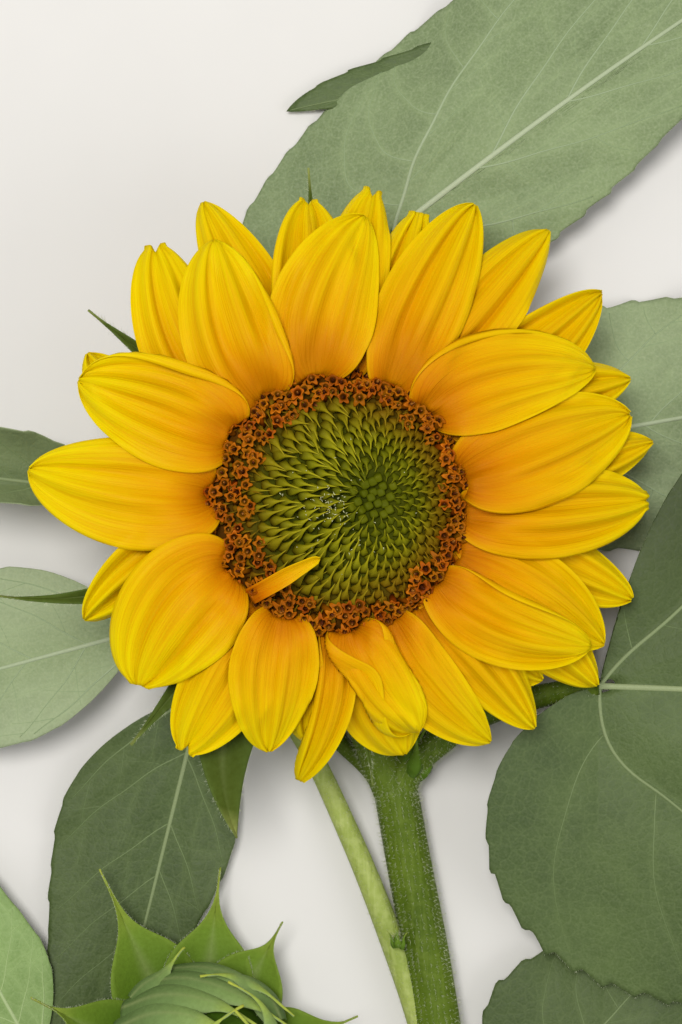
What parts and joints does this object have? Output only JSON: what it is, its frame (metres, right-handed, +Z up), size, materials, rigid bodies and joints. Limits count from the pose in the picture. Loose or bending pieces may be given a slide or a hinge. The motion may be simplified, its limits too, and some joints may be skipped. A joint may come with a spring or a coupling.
{
  "type": "cut flowering top of a sunflower plant",
  "caption": "Flowering top of a sunflower plant, cut and laid down face up: an open bloom on its forked stem, with broad leaves on stalks and a budding side shoot.",
  "frame": {"origin": "middle of the underside of the whole part, on the level surface that it lies on", "axes": "+Z up, out of the bloom's face; +Y from the cut end of the stem to the bloom; +X to the right, as the bloom is seen from above"},
  "size_m": [0.4426, 0.3926, 0.0654],
  "materials": {
    "petal": "satin",
    "disc": "matt, beaded",
    "bract": "matt, hairy",
    "leaf": "satin, veined",
    "leaf_underside": "matt, veined",
    "stem": "matt, hairy"
  },
  "bodies": {
    "root": {"disc": "disc", "receptacle_and_bracts": "bract", "ray_01": "petal", "ray_02": "petal", "ray_03": "petal", "ray_04": "petal", "ray_05": "petal", "ray_06": "petal", "ray_07": "petal", "ray_08": "petal", "ray_09": "petal", "ray_10": "petal", "ray_11": "petal", "ray_12": "petal", "ray_13": "petal", "ray_14": "petal", "ray_15": "petal", "ray_16": "petal", "ray_17": "petal", "ray_18": "petal", "ray_19": "petal", "ray_20": "petal", "ray_21": "petal", "ray_22": "petal", "ray_23": "petal", "ray_24": "petal", "ray_25": "petal", "ray_26": "petal", "ray_27": "petal", "ray_28": "petal", "ray_29": "petal", "ray_30": "petal", "ray_31": "petal", "ray_32": "petal", "ray_33": "petal", "ray_34": "petal", "ray_35": "petal", "ray_stray": "petal", "stem": "stem", "neck": "stem", "side_bud": "bract", "side_shoot": "stem", "upper_leaf_stalk": "stem", "upper_leaf": "leaf_underside", "right_leaf_stalk": "stem", "right_leaf": "leaf", "left_leaf_stalk": "stem", "left_leaf": "leaf_underside", "drooping_leaf_stalk": "stem", "drooping_leaf": "leaf", "right_upper_leaf_stalk": "stem", "right_upper_leaf": "leaf_underside", "top_leaf_stalk": "stem", "top_leaf": "leaf", "lower_right_leaf_stalk": "stem", "lower_right_leaf": "leaf", "lower_left_leaf_stalk": "stem", "lower_left_leaf": "leaf", "outer_left_leaf_stalk": "stem", "outer_left_leaf": "leaf"}
  },
  "joints": []
}
